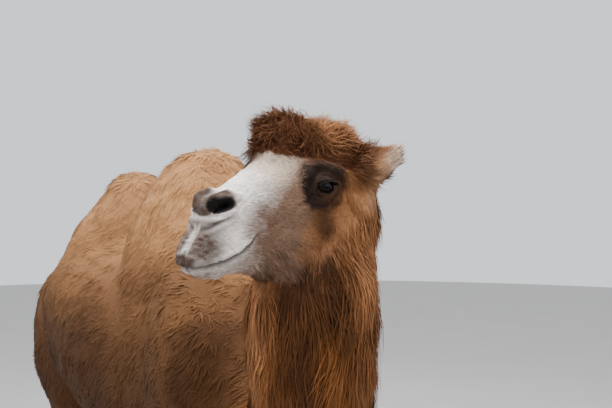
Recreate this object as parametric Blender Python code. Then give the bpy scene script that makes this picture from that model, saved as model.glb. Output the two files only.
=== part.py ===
"""A Bactrian camel standing at life size, with its neck raised and its head turned to its right.

The body is blended whole from lofted forms, then parted with thin cuts into the pieces that a person
would name. The camel faces -Y, its left side is +X, and +Z is up. Metres.
"""

import math

import bmesh
import bpy
import numpy as np
from mathutils import Matrix, Vector

# Thin cut left between neighbouring pieces.
GAP = 0.0006

# Driving sizes of the body, coat included.
TRUNK_LENGTH = 1.62
SHOULDER_TOP = 1.575
BARREL_HALF_WIDTH = 0.40
HUMP_FRONT_TOP = 1.875
HUMP_REAR_TOP = 1.81
HUMP_CUT_HEIGHT = 1.60
KNEE_HEIGHT = 0.50
ANKLE_HEIGHT = 0.115

# The head's own frame: u runs towards the nose, v to the head's left and w up, from midway between the eyes.
HEAD_CENTRE = Vector((-0.283, -1.232, 1.743))
HEAD_TURN = math.radians(-68.0)
HEAD_PITCH = math.radians(0.0)
HEAD_ROLL = math.radians(-5.0)
EYE_RADIUS = 0.0215
EYE_PLACE = Vector((-0.022, 0.096, 0.0))
# The throat's cut runs from behind the poll to below the chin, as (u, w).
THROAT_CUT = (Vector((-0.235, 0.034)), Vector((0.50, -0.62)))

# Mesh resolution of the blended forms, and the triangles that the pieces share.
BODY_VOXEL = 0.012
WHOLE_VOXEL = 0.006
BODY_TRIANGLES = 2200
HEAD_TRIANGLES = 1500
CROP_MARGIN = 0.03

COLOURS = {
    "coat_tan": (0.42, 0.24, 0.12),
    "coat_russet": (0.30, 0.13, 0.05),
    "coat_pale": (0.62, 0.54, 0.46),
    "coat_dark": (0.12, 0.06, 0.03),
    "eye_gloss": (0.02, 0.012, 0.008),
    "nail_horn": (0.10, 0.08, 0.065),
}
ROUGHNESS = {"eye_gloss": 0.08, "nail_horn": 0.45}


# ---------------------------------------------------------------- helpers


def clear_scene():
    for obj in list(bpy.data.objects):
        bpy.data.objects.remove(obj)


def material(name):
    found = bpy.data.materials.get(name)
    if found:
        return found
    made = bpy.data.materials.new(name)
    made.use_nodes = True
    shader = made.node_tree.nodes["Principled BSDF"]
    shader.inputs["Base Color"].default_value = (*COLOURS[name], 1.0)
    shader.inputs["Roughness"].default_value = ROUGHNESS.get(name, 0.9)
    return made


def object_from(name, bm):
    bmesh.ops.recalc_face_normals(bm, faces=bm.faces)
    mesh = bpy.data.meshes.new(name)
    bm.to_mesh(mesh)
    bm.free()
    obj = bpy.data.objects.new(name, mesh)
    bpy.context.scene.collection.objects.link(obj)
    return obj


def discard(*objects):
    for obj in objects:
        bpy.data.objects.remove(obj)


def applied(obj):
    """The object with its modifiers made part of its mesh."""
    graph = bpy.context.evaluated_depsgraph_get()
    mesh = bpy.data.meshes.new_from_object(obj.evaluated_get(graph))
    obj.modifiers.clear()
    obj.data = mesh
    return obj


def through(stations, steps):
    """Rows on a smooth curve through the stations, each a row of numbers."""
    rows = np.array(stations, float)
    ends = np.vstack([2 * rows[0] - rows[1], rows, 2 * rows[-1] - rows[-2]])
    made = []
    for a, b, c, d in zip(ends[:-3], ends[1:-2], ends[2:-1], ends[3:]):
        for t in np.arange(steps) / steps:
            made.append(
                b + (c - a) * t / 2
                + (2 * a - 5 * b + 4 * c - d) * t * t / 2
                + (3 * b - a - 3 * c + d) * t ** 3 / 2
            )
    made.append(rows[-1])
    return np.array(made)


def superellipse(angle, square):
    c, s = math.cos(angle), math.sin(angle)
    power = 2 / square
    return math.copysign(abs(c) ** power, c), math.copysign(abs(s) ** power, s)


def loft(name, stations, back=(0, 0, 1), twist=0.0, square=2.0, grow=0.0, frame=None, points=28, steps=5):
    """A closed tube along a smooth path. A station is x, y, z, half-width, rise and drop, where the rise is
    the reach towards back, which is carried along the path and turned about it by twist in all."""
    rows = through(stations, steps)
    centres = [Vector(row[:3]) for row in rows]
    centres[0] += (centres[0] - centres[1]).normalized() * grow
    centres[-1] += (centres[-1] - centres[-2]).normalized() * grow
    back = Vector(back)
    bm = bmesh.new()
    rings = []
    for i, row in enumerate(rows):
        ahead = centres[min(i + 1, len(rows) - 1)] - centres[max(i - 1, 0)]
        ahead.normalize()
        back = (back - back.dot(ahead) * ahead).normalized()
        turned = Matrix.Rotation(twist * i / (len(rows) - 1), 3, ahead) @ back
        side = ahead.cross(turned)
        ring = []
        for angle in np.arange(points) * 2 * math.pi / points:
            across, up = superellipse(angle, square)
            reach = (row[4] if up > 0 else row[5]) + grow
            place = centres[i] + side * across * (row[3] + grow) + turned * up * reach
            ring.append(bm.verts.new(frame @ place if frame else place))
        rings.append(ring)
    for first, second in zip(rings[:-1], rings[1:]):
        for j in range(points):
            k = (j + 1) % points
            bm.faces.new((first[j], first[k], second[k], second[j]))
    for ring in (rings[0], rings[-1]):
        bm.faces.new(ring)
    bmesh.ops.triangulate(bm, faces=[f for f in bm.faces if len(f.verts) > 4])
    return object_from(name, bm)


def ellipsoid(name, centre, radii, turn=(0, 0, 0), frame=None, detail=3, grow=0.0):
    """An ellipsoid, turned by angles in degrees about its own X, Y and Z."""
    bm = bmesh.new()
    rotation = Matrix.Rotation(math.radians(turn[2]), 4, "Z")
    rotation @= Matrix.Rotation(math.radians(turn[1]), 4, "Y")
    rotation @= Matrix.Rotation(math.radians(turn[0]), 4, "X")
    scale = Matrix.Diagonal((*[r + grow for r in radii], 1.0))
    place = Matrix.Translation(centre) @ rotation @ scale
    if frame:
        place = frame @ place
    bmesh.ops.create_icosphere(bm, subdivisions=detail, radius=1.0, matrix=place)
    return object_from(name, bm)


def prism(name, outline, low, high, frame=None):
    """An outline of (first, third) coordinates, extruded along the second coordinate from low to high."""
    bm = bmesh.new()
    near = [bm.verts.new((a, low, b)) for a, b in outline]
    far = [bm.verts.new((a, high, b)) for a, b in outline]
    bm.faces.new(near)
    bm.faces.new(list(reversed(far)))
    for i in range(len(outline)):
        j = (i + 1) % len(outline)
        bm.faces.new((near[i], far[i], far[j], near[j]))
    if frame:
        bm.transform(frame)
    return object_from(name, bm)


def box(name, low, high):
    return prism(name, [(low[0], low[2]), (high[0], low[2]), (high[0], high[2]), (low[0], high[2])], low[1], high[1])


def grown(cutter):
    """A copy of a cutter whose flat sides stand out by the gap."""
    obj = bpy.data.objects.new(cutter.name + "_grown", cutter.data.copy())
    bpy.context.scene.collection.objects.link(obj)
    bm = bmesh.new()
    bm.from_mesh(obj.data)
    bm.normal_update()
    for vert in bm.verts:
        vert.co += vert.normal * GAP * vert.calc_shell_factor()
    bm.to_mesh(obj.data)
    bm.free()
    return obj


def boolean(obj, cutter, operation):
    modifier = obj.modifiers.new(operation.lower(), "BOOLEAN")
    modifier.operation = operation
    modifier.object = cutter
    return applied(obj)


def copy_of(obj, name):
    made = bpy.data.objects.new(name, obj.data.copy())
    bpy.context.scene.collection.objects.link(made)
    return made


def part_off(source, cutter, name):
    """The piece of source inside cutter, as a new object. The source keeps the rest, a gap away."""
    piece = boolean(copy_of(source, name), cutter, "INTERSECT")
    wider = grown(cutter)
    boolean(source, wider, "DIFFERENCE")
    discard(cutter, wider)
    return piece


def blended(name, forms, voxel, smooth):
    """One closed skin round the overlapping forms, with its creases rounded."""
    bm = bmesh.new()
    for form in forms:
        bm.from_mesh(form.data)
    mesh = bpy.data.meshes.new(name)
    bm.to_mesh(mesh)
    bm.free()
    obj = bpy.data.objects.new(name, mesh)
    bpy.context.scene.collection.objects.link(obj)
    remesh = obj.modifiers.new("remesh", "REMESH")
    remesh.mode = "VOXEL"
    remesh.voxel_size = voxel
    soften = obj.modifiers.new("soften", "SMOOTH")
    soften.factor = 0.5
    soften.iterations = smooth
    discard(*forms)
    return applied(obj)


def thinned(obj, triangles):
    """The object with about that many triangles."""
    obj.data.calc_loop_triangles()
    decimate = obj.modifiers.new("thin", "DECIMATE")
    decimate.ratio = triangles / len(obj.data.loop_triangles)
    decimate.use_collapse_triangulate = True
    return applied(obj)


def cropped(obj, keep):
    """The object's part whose points pass keep, closed again where it was cut."""
    bm = bmesh.new()
    bm.from_mesh(obj.data)
    bmesh.ops.delete(bm, geom=[v for v in bm.verts if not keep(v.co)], context="VERTS")
    bmesh.ops.holes_fill(bm, edges=[e for e in bm.edges if e.is_boundary], sides=0)
    bmesh.ops.triangulate(bm, faces=[f for f in bm.faces if len(f.verts) > 4])
    bm.to_mesh(obj.data)
    bm.free()
    return obj


def mirrored(side, point):
    return (point[0] * side, *point[1:])


# ---------------------------------------------------------------- body forms


def trunk_form():
    """Barrel from the brisket to the rump: y, middle height, half-width, reach up and reach down."""
    half = TRUNK_LENGTH / 2
    sections = [
        (-half, 1.17, 0.07, 0.09, 0.10),
        (-half + 0.05, 1.17, 0.17, 0.20, 0.20),
        (-half + 0.16, 1.17, 0.25, 0.31, 0.31),
        (-half + 0.32, 1.18, 0.31, SHOULDER_TOP - 1.18, 0.37),
        (-0.28, 1.18, 0.355, 0.40, 0.38),
        (0.02, 1.18, BARREL_HALF_WIDTH, 0.37, 0.35),
        (0.28, 1.20, 0.385, 0.38, 0.31),
        (0.52, 1.22, 0.34, 0.35, 0.24),
        (half - 0.13, 1.22, 0.285, 0.27, 0.19),
        (half - 0.03, 1.21, 0.17, 0.15, 0.13),
        (half, 1.20, 0.08, 0.07, 0.07),
    ]
    return loft("trunk", [(0, y, z, w, up, down) for y, z, w, up, down in sections], square=2.15)


def hump_form(name, y, top, lean, length, width):
    """A hump from deep in the barrel up to its rounded top, which leans by lean along y."""
    base = 1.22
    rise = top - base
    sections = [(0.0, 1.0), (0.30, 0.93), (0.55, 0.80), (0.75, 0.63), (0.90, 0.42), (0.97, 0.26), (1.0, 0.10)]
    stations = [
        (0, y + lean * share, base + rise * share, width * wide, length * wide, length * wide)
        for share, wide in sections
    ]
    return loft(name, stations, back=(0, 1, 0), square=2.1)


def neck_form():
    """The neck's dip in front of the chest and its rise to the poll, with the throat's long hair."""
    stations = [
        (0.00, -0.48, 1.22, 0.17, 0.24, 0.24),
        (0.00, -0.64, 1.18, 0.18, 0.24, 0.25),
        (-0.02, -0.80, 1.11, 0.165, 0.20, 0.23),
        (-0.07, -0.96, 1.07, 0.152, 0.17, 0.20),
        (-0.128, -1.088, 1.13, 0.158, 0.155, 0.19),
        (-0.155, -1.162, 1.28, 0.163, 0.145, 0.18),
        (-0.160, -1.182, 1.44, 0.160, 0.145, 0.175),
        (-0.148, -1.173, 1.58, 0.147, 0.145, 0.155),
        (-0.125, -1.155, 1.70, 0.128, 0.128, 0.12),
        (-0.115, -1.15, 1.78, 0.09, 0.09, 0.08),
    ]
    return loft("neck", stations, twist=math.radians(-42), square=2.1)


def fore_leg_form(side):
    stations = [
        (0.205, -0.50, 1.18, 0.10, 0.16, 0.17),
        (0.21, -0.49, 1.00, 0.105, 0.145, 0.145),
        (0.205, -0.47, 0.88, 0.092, 0.118, 0.125),
        (0.20, -0.475, 0.72, 0.075, 0.088, 0.096),
        (0.194, -0.485, 0.58, 0.066, 0.074, 0.078),
        (0.190, -0.49, KNEE_HEIGHT, 0.068, 0.078, 0.074),
        (0.187, -0.485, 0.43, 0.055, 0.058, 0.062),
        (0.185, -0.48, 0.30, 0.044, 0.047, 0.050),
        (0.184, -0.485, 0.17, 0.050, 0.053, 0.055),
        (0.184, -0.50, 0.09, 0.058, 0.075, 0.065),
        (0.184, -0.51, 0.045, 0.055, 0.080, 0.065),
    ]
    return loft("fore_leg", [mirrored(side, s) for s in stations], back=(0, -1, 0))


def hind_leg_form(side):
    stations = [
        (0.20, 0.58, 1.30, 0.09, 0.17, 0.15),
        (0.22, 0.56, 1.14, 0.118, 0.20, 0.185),
        (0.225, 0.535, 0.98, 0.108, 0.170, 0.170),
        (0.215, 0.555, 0.84, 0.088, 0.125, 0.125),
        (0.205, 0.62, 0.68, 0.066, 0.080, 0.086),
        (0.196, 0.685, 0.555, 0.055, 0.064, 0.072),
        (0.192, 0.695, KNEE_HEIGHT, 0.054, 0.062, 0.068),
        (0.186, 0.675, 0.40, 0.042, 0.046, 0.052),
        (0.185, 0.655, 0.28, 0.040, 0.044, 0.048),
        (0.184, 0.635, 0.16, 0.046, 0.050, 0.052),
        (0.184, 0.61, 0.09, 0.054, 0.068, 0.060),
        (0.184, 0.60, 0.045, 0.052, 0.072, 0.060),
    ]
    return loft("hind_leg", [mirrored(side, s) for s in stations], back=(0, -1, 0))


def foot_forms(x, y, size):
    """The broad two-toed pad: one rounded form for each toe and one for the heel."""
    forms = []
    for toe in (-1, 1):
        centre = (x + toe * 0.043 * size, y - 0.035 * size, 0.028)
        forms.append(ellipsoid("toe", centre, (0.054 * size, 0.105 * size, 0.052), turn=(0, 0, toe * 5)))
    forms.append(ellipsoid("heel", (x, y + 0.03 * size, 0.03), (0.078 * size, 0.075 * size, 0.05)))
    return forms


FEET = [
    ("fore_left", 0.184, -0.50, 1.0),
    ("fore_right", -0.184, -0.50, 1.0),
    ("hind_left", 0.184, 0.60, 0.9),
    ("hind_right", -0.184, 0.60, 0.9),
]


def body_form():
    forms = [trunk_form(), neck_form()]
    forms.append(hump_form("hump_front", -0.28, HUMP_FRONT_TOP, 0.04, 0.34, 0.335))
    forms.append(hump_form("hump_rear", 0.42, HUMP_REAR_TOP, -0.06, 0.34, 0.325))
    forms.append(ellipsoid("brisket", (0, -0.56, 0.93), (0.14, 0.18, 0.12)))
    for side in (-1, 1):
        forms.append(fore_leg_form(side))
        forms.append(hind_leg_form(side))
        forms.append(ellipsoid("shoulder", (0.20 * side, -0.55, 1.20), (0.125, 0.20, 0.30), turn=(-12, 0, 0)))
        forms.append(ellipsoid("haunch", (0.205 * side, 0.60, 1.13), (0.155, 0.225, 0.31), turn=(10, 0, 0)))
    for _, x, y, size in FEET:
        forms.extend(foot_forms(x, y, size))
    return blended("body", forms, BODY_VOXEL, 12)


# ---------------------------------------------------------------- head forms


def head_frame():
    """Matrix from the head's own frame to the camel's."""
    turn = Matrix.Rotation(-math.pi / 2 + HEAD_TURN, 4, "Z")
    pitch = Matrix.Rotation(-HEAD_PITCH, 4, "Y")
    roll = Matrix.Rotation(HEAD_ROLL, 4, "X")
    return Matrix.Translation(HEAD_CENTRE) @ turn @ pitch @ roll


def skull_form(frame):
    """Skull and muzzle from the poll to the lips: u, middle, half-width, reach up and reach down."""
    sections = [
        (-0.235, -0.03, 0.055, 0.045, 0.06),
        (-0.205, -0.03, 0.092, 0.095, 0.11),
        (-0.15, -0.03, 0.108, 0.122, 0.15),
        (-0.08, -0.035, 0.107, 0.126, 0.170),
        (-0.01, -0.045, 0.092, 0.124, 0.170),
        (0.055, -0.060, 0.076, 0.107, 0.153),
        (0.115, -0.078, 0.064, 0.096, 0.132),
        (0.17, -0.098, 0.055, 0.088, 0.104),
        (0.215, -0.108, 0.047, 0.080, 0.080),
        (0.246, -0.114, 0.036, 0.056, 0.060),
        (0.260, -0.118, 0.020, 0.030, 0.034),
    ]
    stations = [(u, 0, w, half, up, down) for u, w, half, up, down in sections]
    return loft("skull", stations, square=2.25, frame=frame)


def head_forms(frame):
    forms = [skull_form(frame)]
    single = [
        ("upper_lip", (0.251, 0, -0.140), (0.054, 0.048, 0.036), (0, 26, 0)),
        ("lower_lip", (0.230, 0, -0.177), (0.053, 0.038, 0.024), (0, -6, 0)),
        ("nose", (0.214, 0, -0.046), (0.048, 0.038, 0.026), (0, 18, 0)),
        ("crown", (-0.012, 0, 0.098), (0.098, 0.088, 0.068), (0, -4, 0)),
        ("poll", (-0.106, 0, 0.086), (0.106, 0.110, 0.076), (0, 6, 0)),
    ]
    for name, centre, radii, turn in single:
        forms.append(ellipsoid(name, centre, radii, turn, frame))
    paired = [
        ("nostril_wing", (0.228, 0.034, -0.056), (0.040, 0.024, 0.030), (0, 14, -12)),
        ("lip_side", (0.208, 0.032, -0.138), (0.066, 0.026, 0.036), (0, 20, -10)),
        ("cheek", (-0.03, 0.060, -0.12), (0.120, 0.050, 0.095), (0, 0, -6)),
        ("orbit", (-0.018, 0.070, 0.006), (0.060, 0.038, 0.048), (0, 8, 8)),
        ("cheekbone", (0.015, 0.062, -0.045), (0.095, 0.034, 0.036), (0, 14, -12)),
        ("temple", (-0.10, 0.080, 0.020), (0.08, 0.042, 0.065), (0, 0, 0)),
        ("ruff", (-0.165, 0.085, -0.085), (0.09, 0.062, 0.14), (0, 0, 0)),
    ]
    for side in (-1, 1):
        for name, centre, radii, turn in paired:
            place = (centre[0], centre[1] * side, centre[2])
            forms.append(ellipsoid(name, place, radii, (turn[0] * side, turn[1], turn[2] * side), frame))
    return forms


def ear(name, side, frame, grow=0.0):
    """An ear from its root inside the skull out to the tip."""
    stations = [
        (-0.145, 0.075, 0.020, 0.026, 0.018, 0.018),
        (-0.163, 0.103, 0.034, 0.040, 0.023, 0.023),
        (-0.178, 0.126, 0.049, 0.047, 0.022, 0.022),
        (-0.191, 0.147, 0.066, 0.042, 0.018, 0.018),
        (-0.202, 0.165, 0.084, 0.028, 0.012, 0.012),
        (-0.210, 0.176, 0.098, 0.009, 0.006, 0.006),
    ]
    stations = [(u, v * side, *rest) for u, v, *rest in stations]
    return loft(name, stations, back=(-0.9, 0, 0.4), grow=grow, frame=frame, points=10, steps=2)


# ---------------------------------------------------------------- pieces


def ahead_of_throat(point, margin):
    """Whether a point of the head's frame lies ahead of the throat's cut by more than margin."""
    top, bottom = THROAT_CUT
    along = (bottom - top).normalized()
    clear = -(point.x - top.x) * along.y + (point.z - top.y) * along.x
    return clear > margin and point.x > top.x + margin and point.length < 0.6


def head_pieces(whole, frame):
    """Head, lower jaw, forelock, ears and eyes. The whole gives up everything ahead of the throat's cut."""
    fine = copy_of(whole, "fine")
    cropped(fine, lambda point: ahead_of_throat(frame.inverted() @ point, -CROP_MARGIN))
    thinned(fine, HEAD_TRIANGLES)
    top, bottom = THROAT_CUT
    throat = [top, bottom, (0.75, 0.0), (0.2, 0.5), (top.x, 0.5)]
    head_region = prism("head_region", throat, -0.4, 0.4, frame)
    head = boolean(copy_of(fine, "head"), head_region, "INTERSECT")
    wider = grown(head_region)
    discard(fine, head_region)

    crown_cut = [(0.17, 0.030), (0.05, 0.058), (-0.15, 0.085), (-0.15, 0.4), (0.17, 0.4)]
    forelock = part_off(head, prism("crown_cut", crown_cut, -0.3, 0.3, frame), "forelock")

    mouth = [(u, w) for u, w in through([(0.36, -0.178), (0.28, -0.169), (0.21, -0.150), (0.145, -0.116)], 4)]
    jaw_cut = mouth + [(0.085, -0.35), (0.36, -0.35)]
    jaw = part_off(head, prism("jaw_cut", jaw_cut, -0.2, 0.2, frame), "lower_jaw")

    pieces = {"head": head, "forelock": forelock, "lower_jaw": jaw}
    for side, word in ((1, "left"), (-1, "right")):
        socket = ear("ear_socket", side, frame, grow=GAP)
        boolean(head, socket, "DIFFERENCE")
        discard(socket)
        conch = ellipsoid("conch", (-0.165, 0.146 * side, 0.070), (0.018, 0.036, 0.032), (0, 0, 28 * side), frame, 2)
        pieces["ear_" + word] = boolean(ear("ear_" + word, side, frame), conch, "DIFFERENCE")
        discard(conch)

        place = (EYE_PLACE.x, EYE_PLACE.y * side, EYE_PLACE.z)
        orbit = ellipsoid("orbit", place, (EYE_RADIUS,) * 3, frame=frame, detail=2, grow=GAP)
        boolean(head, orbit, "DIFFERENCE")
        discard(orbit)
        pieces["eye_" + word] = ellipsoid("eye_" + word, place, (EYE_RADIUS,) * 3, frame=frame, detail=2)

        opening = ellipsoid(
            "nostril", (0.240, 0.054 * side, -0.053), (0.034, 0.022, 0.013), (0, 14, -24 * side), frame, detail=2
        )
        boolean(head, opening, "DIFFERENCE")
        discard(opening)
    return pieces, wider


def hump_pieces(body):
    pieces = {}
    for name, low, high in (("hump_front", -0.72, 0.06), ("hump_rear", 0.06, 0.86)):
        region = box("hump_region", (-0.5, low, HUMP_CUT_HEIGHT), (0.5, high, 2.3))
        pieces[name] = part_off(body, region, name)
    return pieces


def leg_pieces(body):
    """Each leg is parted from the trunk by a domed cut that rises outwards, then from its foot at the ankle."""
    pieces = {}
    for word, x, y, _ in FEET:
        side = math.copysign(1, x)
        fore = word.startswith("fore")
        top, reach = (1.20, 0.34) if fore else (1.28, 0.37)
        region = ellipsoid("leg_region", (0.33 * side, y + 0.02, 0.0), (0.30, reach, top), detail=3)
        leg = part_off(body, region, "leg_" + word)
        foot_region = box("foot_region", (x - 0.3, y - 0.4, -0.3), (x + 0.3, y + 0.5, ANKLE_HEIGHT))
        pieces["foot_" + word] = part_off(leg, foot_region, "foot_" + word)
        pieces["leg_" + word] = leg
    return pieces


def tail(name, grow=0.0):
    stations = [
        (0, 0.70, 1.25, 0.034, 0.032, 0.032),
        (0, 0.79, 1.265, 0.046, 0.042, 0.042),
        (0, 0.848, 1.21, 0.040, 0.034, 0.034),
        (0, 0.872, 1.11, 0.034, 0.028, 0.028),
        (0, 0.880, 1.00, 0.034, 0.028, 0.028),
        (0, 0.880, 0.88, 0.046, 0.036, 0.036),
        (0, 0.878, 0.77, 0.040, 0.030, 0.030),
        (0, 0.875, 0.68, 0.012, 0.010, 0.010),
    ]
    return loft(name, stations, back=(0, 0, 1), grow=grow, points=10, steps=2)


def nail_pieces(pieces):
    """The two horny nails at the front of each foot."""
    made = {}
    for word, x, y, size in FEET:
        foot = pieces["foot_" + word]
        for toe, which in ((-1, "right"), (1, "left")):
            centre = (x + toe * 0.047 * size, y - 0.132 * size, 0.030)
            radii = (0.026, 0.020, 0.019)
            socket = ellipsoid("nail_socket", centre, radii, (-20, 0, toe * 6), detail=2, grow=GAP)
            boolean(foot, socket, "DIFFERENCE")
            discard(socket)
            name = f"nail_{word}_{which}"
            made[name] = ellipsoid(name, centre, radii, (-20, 0, toe * 6), detail=2)
    return made


def camel():
    frame = head_frame()
    whole = blended("whole", [body_form(), *head_forms(frame)], WHOLE_VOXEL, 5)
    head, head_region = head_pieces(whole, frame)
    cropped(whole, lambda point: not ahead_of_throat(frame.inverted() @ point, CROP_MARGIN))
    body = thinned(whole, BODY_TRIANGLES)
    boolean(body, head_region, "DIFFERENCE")
    discard(head_region)
    ground = box("ground", (-1, -2, -0.5), (1, 2, 0.0))
    boolean(body, ground, "DIFFERENCE")
    discard(ground)

    pieces = {**head, **hump_pieces(body), **leg_pieces(body)}
    collar = [(-0.69, 0.70), (-0.93, 1.50), (-0.93, 2.1), (-1.7, 2.1), (-1.7, 0.70)]
    neck_region = prism("neck_region", collar, -0.6, 0.6, Matrix.Rotation(math.pi / 2, 4, "Z"))
    pieces["neck"] = part_off(body, neck_region, "neck")
    socket = tail("tail_socket", grow=GAP)
    boolean(body, socket, "DIFFERENCE")
    discard(socket)
    pieces["tail"] = tail("tail")
    body.name = "trunk"
    pieces["trunk"] = body
    pieces.update(nail_pieces(pieces))
    return pieces


MATERIALS = {
    "head": "coat_pale",
    "lower_jaw": "coat_pale",
    "forelock": "coat_dark",
    "ear": "coat_pale",
    "eye": "eye_gloss",
    "neck": "coat_russet",
    "nail": "nail_horn",
}


def finish(pieces):
    """Names, materials and smooth shading, with the origin under the middle of the camel."""
    corners = np.array([v.co for obj in pieces.values() for v in obj.data.vertices])
    low, high = corners.min(0), corners.max(0)
    shift = Matrix.Translation((-(low[0] + high[0]) / 2, -(low[1] + high[1]) / 2, -low[2]))
    for name, obj in pieces.items():
        obj.name = name
        obj.data.name = name
        obj.data.transform(shift)
        obj.data.materials.clear()
        kind = name if name in MATERIALS else name.split("_")[0]
        obj.data.materials.append(material(MATERIALS.get(kind, "coat_tan")))
        obj.data.shade_smooth()


clear_scene()
finish(camel())
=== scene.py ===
"""Bactrian Camel: the skin, coat, eyes, lids, lashes and nails of a standing camel, and its stage."""

import math

import bmesh
import bpy
import numpy as np
from mathutils import Matrix, Vector


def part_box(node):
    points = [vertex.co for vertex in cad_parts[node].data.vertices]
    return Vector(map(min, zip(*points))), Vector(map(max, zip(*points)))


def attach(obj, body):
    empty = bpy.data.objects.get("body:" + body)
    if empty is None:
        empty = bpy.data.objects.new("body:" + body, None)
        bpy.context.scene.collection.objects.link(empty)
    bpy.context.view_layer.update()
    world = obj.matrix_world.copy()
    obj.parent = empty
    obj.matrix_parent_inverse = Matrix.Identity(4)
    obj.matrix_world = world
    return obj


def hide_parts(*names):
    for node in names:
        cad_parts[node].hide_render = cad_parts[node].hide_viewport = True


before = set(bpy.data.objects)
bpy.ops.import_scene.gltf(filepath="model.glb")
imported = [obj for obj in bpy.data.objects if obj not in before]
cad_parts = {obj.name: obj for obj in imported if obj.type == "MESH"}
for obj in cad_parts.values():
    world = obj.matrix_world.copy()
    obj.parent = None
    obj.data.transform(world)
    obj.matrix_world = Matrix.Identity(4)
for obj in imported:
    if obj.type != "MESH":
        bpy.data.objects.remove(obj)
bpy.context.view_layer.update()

bl_info = {
    "name": "Bactrian Camel",
    "version": (1, 0, 0),
    "blender": (4, 5, 0),
    "location": "View3D > Sidebar > Camel",
    "description": "Builds the skin, coat, eyes and nails of a standing Bactrian camel",
    "category": "Add Mesh",
}

SKIN = "camel_skin"
SIDES = ((1, "left"), (-1, "right"))
LEGS = ("fore_left", "fore_right", "hind_left", "hind_right")
NAILS = [f"nail_{leg}_{toe}" for leg in LEGS for toe in ("left", "right")]
FLESH = ["head", "lower_jaw", "forelock", "ear_left", "ear_right", "neck", "trunk", "hump_front"]
FLESH += ["hump_rear", "tail"] + [part + leg for part in ("leg_", "foot_") for leg in LEGS]

# How far the flesh swells to meet its neighbours, and the size of the skin's first cells, in metres.
SWELLING = 0.0012
SKIN_CELL = 0.0095
# Width, on the unwrap, of the patch that one lock of hair takes.
LOCK_PATCH = 0.003


# ---- places on the camel


def middle(node):
    low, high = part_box(node)
    return (low + high) / 2


EYE_RADIUS = (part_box("eye_left")[1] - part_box("eye_left")[0]).z / 2
# How far out of the eye its lids begin and its lashes stand, and how far a lid's rows may spread.
LID_GAP = 0.0004
LASH_ROOT = 0.0022
LID_SPREAD = 0.0135
EYES = {side: middle("eye_" + word) for side, word in SIDES}

# The head's own axes: u towards the nose, v to the head's left and w up.
HEAD_LEFT = (EYES[1] - EYES[-1]).normalized()
HEAD_AHEAD = HEAD_LEFT.cross(Vector((0, 0, 1))).normalized()
HEAD_UP = HEAD_AHEAD.cross(HEAD_LEFT)
HEAD_AXES = np.array([HEAD_AHEAD, HEAD_LEFT, HEAD_UP])
EYE_BACK = 0.022
HEAD_MIDDLE = (EYES[1] + EYES[-1]) / 2 + HEAD_AHEAD * EYE_BACK

# The body's own origin: on the ground, midway between the feet.
BODY_MIDDLE = sum((middle("foot_" + leg) for leg in LEGS), Vector()) / 4
BODY_MIDDLE.z = 0.0
# The way that the wool lies on the flank, the way across it on the flank, and the way out of the flank.
WOOL_AXES = ((0.0, 0.6, -0.8), (0.0, 0.8, 0.6), (1.0, 0.0, 0.0))


def in_head(points):
    """Points in the head's own coordinates: u, v and w."""
    return ((points - np.array(HEAD_MIDDLE)) @ HEAD_AXES.T).T


def in_body(points):
    """Points in the body's coordinates: x to its left, y to its rear and z up."""
    return (points - np.array(BODY_MIDDLE)).T


def ramp(value, low, high):
    """Rises smoothly from 0 at low to 1 at high."""
    share = np.clip((value - low) / (high - low), 0, 1)
    return share * share * (3 - 2 * share)


def hill(value, centre, width):
    """Rises smoothly to 1 where value is at the centre, and is gone by about two widths from it."""
    distance = (value - centre) / width
    return np.exp(-distance * distance)


def full(share):
    """A share whose faint edges are strengthened, so that a dark mark fades evenly to the eye."""
    return 1 - (1 - share) ** 2


def mixed(start, *steps):
    """A value that goes from start to each step's value in turn, by that step's share."""
    value = start
    for share, goal in steps:
        value = value + (goal - value) * share
    return value


def largest(*shares):
    return np.maximum.reduce(shares)


def unit(vectors):
    return vectors / np.maximum(np.linalg.norm(vectors, axis=-1, keepdims=True), 1e-9)


def waves(points, size, seed):
    """A smooth random field of about unit strength whose bumps are about size across."""
    rng = np.random.default_rng(seed)
    total = np.zeros(len(points))
    for _ in range(7):
        way = unit(rng.normal(size=3)) * (2 * math.pi / size) * rng.uniform(0.5, 1.3)
        total += np.sin(points @ way + rng.uniform(0, 2 * math.pi))
    return total / 2.0


def mouth_height(u):
    """Height of the mouth's line in the head's coordinates."""
    return np.interp(u, (0.132, 0.16, 0.21, 0.28, 0.36), (-0.098, -0.126, -0.15, -0.169, -0.178))


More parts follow.
